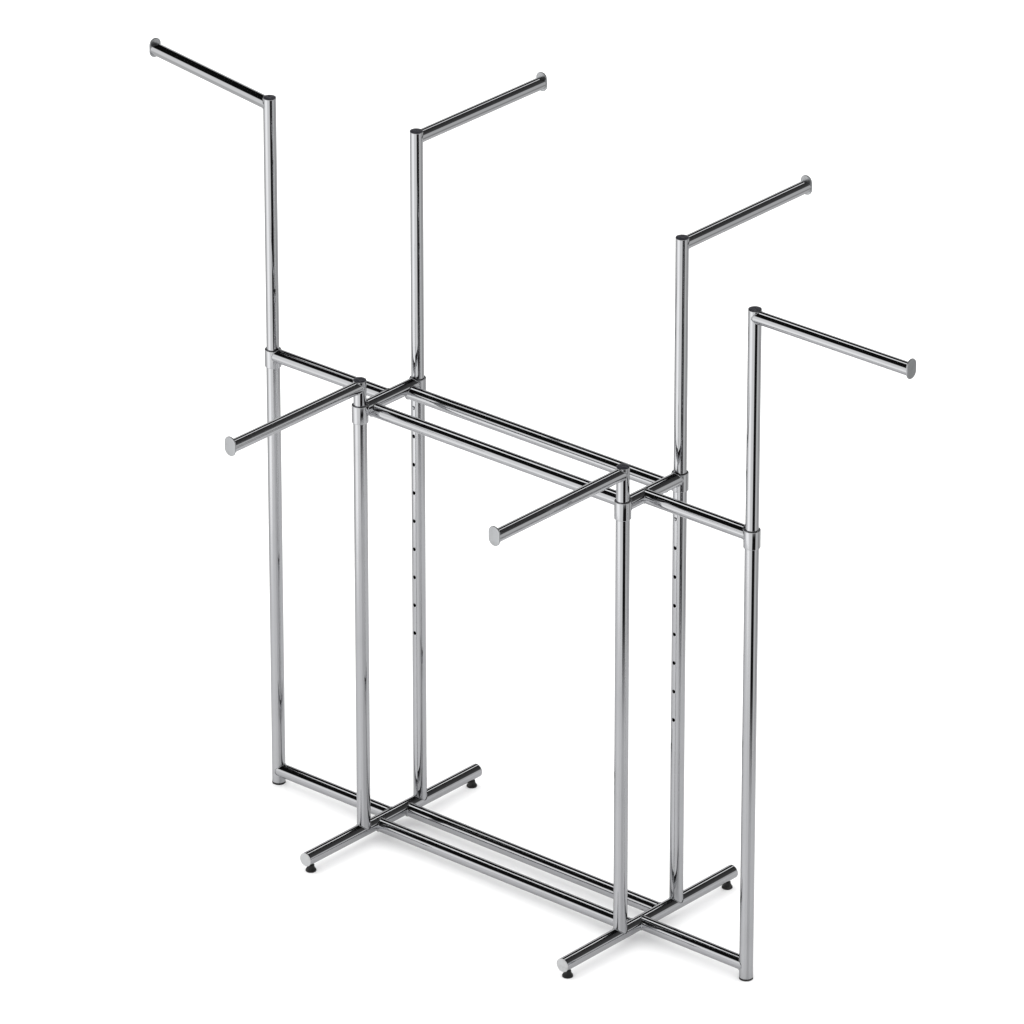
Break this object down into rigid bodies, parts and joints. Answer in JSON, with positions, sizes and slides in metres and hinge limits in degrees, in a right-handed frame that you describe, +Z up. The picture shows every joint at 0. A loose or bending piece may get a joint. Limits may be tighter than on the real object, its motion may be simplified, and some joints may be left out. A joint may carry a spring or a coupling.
{
  "type": "clothing rack",
  "caption": "Free-standing chromed tube clothing rack; straight hanging arms on telescoping risers step up and down in posts and lock with spring buttons.",
  "frame": {"origin": "middle of the whole rack's box in X and Y, at floor level", "axes": "+Z up; +X along the rack from the end with the highest arm to the other end; +Y across it, towards the raised inner arms"},
  "size_m": [2.4598, 1.134, 1.865],
  "materials": {
    "chromed_tube": "polished chrome plate on steel tube",
    "satin_plate": "satin nickel-chrome plate, plain outside face",
    "spring_steel": "bright spring steel, plated nose",
    "black_plastic": "moulded blue-black polyethylene, soft sheen",
    "grey_plastic": "light grey moulded end cap, satin",
    "black_rubber": "black moulded rubber, dull"
  },
  "bodies": {
    "frame": {"foot_bar_left": "chromed_tube", "foot_bar_right": "chromed_tube", "foot_cap_left_front": "grey_plastic", "foot_cap_left_back": "grey_plastic", "foot_cap_right_front": "grey_plastic", "foot_cap_right_back": "grey_plastic", "floor_glide_left": "black_rubber", "floor_glide_right": "black_rubber", "base_rail_front": "chromed_tube", "base_rail_back": "chromed_tube", "base_end_rail_left": "chromed_tube", "base_end_rail_right": "chromed_tube", "top_rail_front": "chromed_tube", "top_rail_back": "chromed_tube", "top_end_rail_left": "chromed_tube", "top_end_rail_right": "chromed_tube", "cross_tube_left": "chromed_tube", "cross_tube_right": "chromed_tube", "collar_left": "chromed_tube", "collar_right": "chromed_tube", "post_end_left": "chromed_tube", "post_front_left": "chromed_tube", "post_back_left": "chromed_tube", "post_front_right": "chromed_tube", "post_back_right": "chromed_tube", "post_end_right": "chromed_tube"},
    "foot_left_front": {"levelling_foot_left_front": "black_rubber"},
    "foot_left_back": {"levelling_foot_left_back": "black_rubber"},
    "foot_right_front": {"levelling_foot_right_front": "black_rubber"},
    "foot_right_back": {"levelling_foot_right_back": "black_rubber"},
    "arm_unit_end_left": {"riser_end_left": "chromed_tube", "arm_end_left": "chromed_tube", "arm_stop_end_left": "satin_plate", "riser_plug_end_left": "black_plastic"},
    "button_end_left": {"snap_button_end_left": "spring_steel"},
    "arm_unit_front_left": {"riser_front_left": "chromed_tube", "arm_front_left": "chromed_tube", "arm_stop_front_left": "satin_plate", "riser_plug_front_left": "black_plastic"},
    "button_front_left": {"snap_button_front_left": "spring_steel"},
    "arm_unit_back_left": {"riser_back_left": "chromed_tube", "arm_back_left": "chromed_tube", "arm_stop_back_left": "satin_plate", "riser_plug_back_left": "black_plastic"},
    "button_back_left": {"snap_button_back_left": "spring_steel"},
    "arm_unit_front_right": {"riser_front_right": "chromed_tube", "arm_front_right": "chromed_tube", "arm_stop_front_right": "satin_plate", "riser_plug_front_right": "black_plastic"},
    "button_front_right": {"snap_button_front_right": "spring_steel"},
    "arm_unit_back_right": {"riser_back_right": "chromed_tube", "arm_back_right": "chromed_tube", "arm_stop_back_right": "satin_plate", "riser_plug_back_right": "black_plastic"},
    "button_back_right": {"snap_button_back_right": "spring_steel"},
    "arm_unit_end_right": {"riser_end_right": "chromed_tube", "arm_end_right": "chromed_tube", "arm_stop_end_right": "satin_plate", "riser_plug_end_right": "black_plastic"},
    "button_end_right": {"snap_button_end_right": "spring_steel"}
  },
  "joints": [
    {"name": "foot_screw_left_front", "type": "slide", "parent": "frame", "child": "foot_left_front", "axis": [0, 0, 1], "range_m": [-0.012, 0.002]},
    {"name": "foot_screw_left_back", "type": "slide", "parent": "frame", "child": "foot_left_back", "axis": [0, 0, 1], "range_m": [-0.012, 0.002]},
    {"name": "foot_screw_right_front", "type": "slide", "parent": "frame", "child": "foot_right_front", "axis": [0, 0, 1], "range_m": [-0.012, 0.002]},
    {"name": "foot_screw_right_back", "type": "slide", "parent": "frame", "child": "foot_right_back", "axis": [0, 0, 1], "range_m": [-0.012, 0.002]},
    {"name": "riser_slide_end_left", "type": "slide", "parent": "frame", "child": "arm_unit_end_left", "axis": [0, 0, 1], "range_m": [-0.6096, 0], "deforming": ["snap_button_end_left"]},
    {"name": "button_press_end_left", "type": "slide", "parent": "arm_unit_end_left", "child": "button_end_left", "axis": [-0.1736, -0.9848, 0], "range_m": [0, 0.004], "stiffness_N_per_m": 1500, "springref_m": -0.002},
    {"name": "riser_slide_front_left", "type": "slide", "parent": "frame", "child": "arm_unit_front_left", "axis": [0, 0, 1], "range_m": [0, 0.5334], "deforming": ["snap_button_front_left"]},
    {"name": "button_press_front_left", "type": "slide", "parent": "arm_unit_front_left", "child": "button_front_left", "axis": [0, -1, 0], "range_m": [0, 0.004], "stiffness_N_per_m": 1500, "springref_m": -0.002},
    {"name": "riser_slide_back_left", "type": "slide", "parent": "frame", "child": "arm_unit_back_left", "axis": [0, 0, 1], "range_m": [-0.6096, 0], "deforming": ["snap_button_back_left"]},
    {"name": "button_press_back_left", "type": "slide", "parent": "arm_unit_back_left", "child": "button_back_left", "axis": [0, 1, 0], "range_m": [0, 0.004], "stiffness_N_per_m": 1500, "springref_m": -0.002},
    {"name": "riser_slide_front_right", "type": "slide", "parent": "frame", "child": "arm_unit_front_right", "axis": [0, 0, 1], "range_m": [0, 0.5334], "deforming": ["snap_button_front_right"]},
    {"name": "button_press_front_right", "type": "slide", "parent": "arm_unit_front_right", "child": "button_front_right", "axis": [0, -1, 0], "range_m": [0, 0.004], "stiffness_N_per_m": 1500, "springref_m": -0.002},
    {"name": "riser_slide_back_right", "type": "slide", "parent": "frame", "child": "arm_unit_back_right", "axis": [0, 0, 1], "range_m": [-0.5334, 0], "deforming": ["snap_button_back_right"]},
    {"name": "button_press_back_right", "type": "slide", "parent": "arm_unit_back_right", "child": "button_back_right", "axis": [0, 1, 0], "range_m": [0, 0.004], "stiffness_N_per_m": 1500, "springref_m": -0.002},
    {"name": "riser_slide_end_right", "type": "slide", "parent": "frame", "child": "arm_unit_end_right", "axis": [0, 0, 1], "range_m": [-0.4572, 0.0762], "deforming": ["snap_button_end_right"]},
    {"name": "button_press_end_right", "type": "slide", "parent": "arm_unit_end_right", "child": "button_end_right", "axis": [0, -1, 0], "range_m": [0, 0.004], "stiffness_N_per_m": 1500, "springref_m": -0.002}
  ]
}
